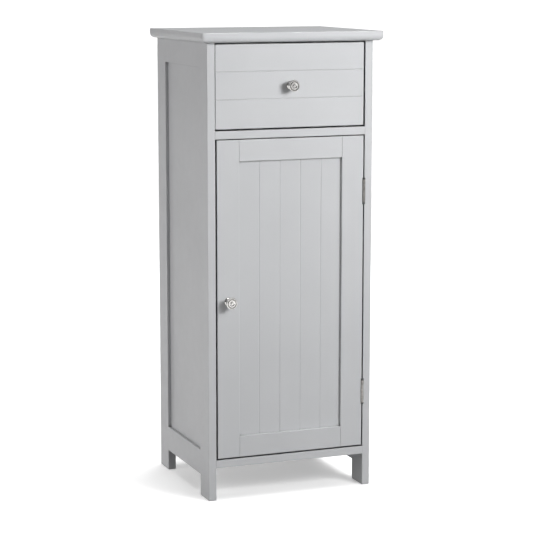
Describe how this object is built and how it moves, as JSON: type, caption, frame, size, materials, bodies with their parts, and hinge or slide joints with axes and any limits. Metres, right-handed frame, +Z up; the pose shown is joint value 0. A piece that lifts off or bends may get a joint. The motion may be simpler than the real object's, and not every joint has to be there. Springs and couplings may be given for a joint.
{
  "type": "bathroom cabinet",
  "caption": "Narrow freestanding bathroom cabinet: overhanging top, inset drawer with grooved front over an inset frame door with beadboard panel, framed sides running down into legs.",
  "frame": {"origin": "on the floor, under the middle of the outline box (knobs included)", "axes": "+Z up, front of the cabinet towards -Y, +X to the right seen from the front"},
  "size_m": [0.358, 0.307, 0.87],
  "materials": {
    "painted_board": "medium-density fibreboard under satin light grey lacquer",
    "drawer_board": "fibreboard under matt pale grey foil",
    "hardboard": "thin hardboard, painted pale grey",
    "polished_chrome": "polished chrome plate on a turned zinc knob",
    "nickel_steel": "dull nickel-plated steel",
    "zinc_steel": "zinc-plated steel",
    "zinc_casting": "bare zinc die casting",
    "beech": "raw fluted beech",
    "runner_enamel": "white enamelled steel",
    "nylon": "natural nylon",
    "catch_plastic": "moulded white plastic",
    "ferrite": "dark ferrite"
  },
  "bodies": {
    "carcass": {"adjustable_shelf": "painted_board", "back_nails": "zinc_steel", "back_panel": "hardboard", "bottom_panel": "painted_board", "cabinet_roller_axles": "zinc_steel", "cabinet_runner_screws": "zinc_steel", "cam_bolts": "zinc_steel", "cam_locks": "zinc_casting", "carcass_dowels": "beech", "catch_case": "catch_plastic", "catch_magnet": "ferrite", "catch_poles": "nickel_steel", "drawer_divider": "painted_board", "hinge_frame_screws": "nickel_steel", "hinge_pins": "nickel_steel", "left_bottom_rail": "painted_board", "left_cabinet_runner": "runner_enamel", "left_front_post": "painted_board", "left_rear_post": "painted_board", "left_side_panel": "painted_board", "left_top_rail": "painted_board", "lower_hinge_frame_leaf": "nickel_steel", "right_bottom_rail": "painted_board", "right_cabinet_runner": "runner_enamel", "right_front_post": "painted_board", "right_rear_post": "painted_board", "right_side_panel": "painted_board", "right_top_rail": "painted_board", "shelf_pins": "nickel_steel", "top_panel": "painted_board", "upper_hinge_frame_leaf": "nickel_steel"},
    "door": {"door_latch_stile": "painted_board", "door_hinge_stile": "painted_board", "door_top_rail": "painted_board", "door_bottom_rail": "painted_board", "door_panel": "painted_board", "door_knob": "polished_chrome", "door_knob_screw": "zinc_steel", "upper_hinge_door_leaf": "nickel_steel", "lower_hinge_door_leaf": "nickel_steel", "hinge_door_screws": "nickel_steel", "strike_plate": "nickel_steel"},
    "drawer": {"drawer_front": "painted_board", "drawer_inner_front": "drawer_board", "drawer_left_wall": "drawer_board", "drawer_right_wall": "drawer_board", "drawer_back": "drawer_board", "drawer_bottom": "hardboard", "drawer_knob": "polished_chrome", "drawer_knob_screw": "zinc_steel", "drawer_front_screws": "zinc_steel", "drawer_corner_screws": "zinc_steel", "left_drawer_runner": "runner_enamel", "right_drawer_runner": "runner_enamel", "drawer_runner_screws": "zinc_steel", "drawer_roller_axles": "zinc_steel"},
    "left_front_wheel": {"left_front_roller": "nylon"},
    "right_front_wheel": {"right_front_roller": "nylon"},
    "left_rear_wheel": {"left_rear_roller": "nylon"},
    "right_rear_wheel": {"right_rear_roller": "nylon"}
  },
  "joints": [
    {"name": "drawer_slide", "type": "slide", "parent": "carcass", "child": "drawer", "axis": [0, -1, 0], "range_m": [0, 0.19]},
    {"name": "door_hinge", "type": "hinge", "parent": "carcass", "child": "door", "pos_m": [0.1478, -0.1338, 0.3774], "axis": [0, 0, 1], "range_deg": [0, 175]},
    {"name": "left_front_wheel_spin", "type": "hinge", "parent": "carcass", "child": "left_front_wheel", "pos_m": [-0.1432, -0.1015, 0.7105], "axis": [1, 0, 0], "continuous": true},
    {"name": "left_rear_wheel_spin", "type": "hinge", "parent": "drawer", "child": "left_rear_wheel", "pos_m": [-0.1423, 0.1155, 0.7103], "axis": [1, 0, 0], "continuous": true},
    {"name": "right_front_wheel_spin", "type": "hinge", "parent": "carcass", "child": "right_front_wheel", "pos_m": [0.1432, -0.1015, 0.7105], "axis": [1, 0, 0], "continuous": true},
    {"name": "right_rear_wheel_spin", "type": "hinge", "parent": "drawer", "child": "right_rear_wheel", "pos_m": [0.1423, 0.1155, 0.7103], "axis": [1, 0, 0], "continuous": true}
  ],
  "couplings": [
    {"joint": "left_front_wheel_spin", "follows": "drawer_slide", "rad_per_m": 111.11},
    {"joint": "left_rear_wheel_spin", "follows": "drawer_slide", "rad_per_m": 111.11},
    {"joint": "right_front_wheel_spin", "follows": "drawer_slide", "rad_per_m": 111.11},
    {"joint": "right_rear_wheel_spin", "follows": "drawer_slide", "rad_per_m": 111.11}
  ]
}
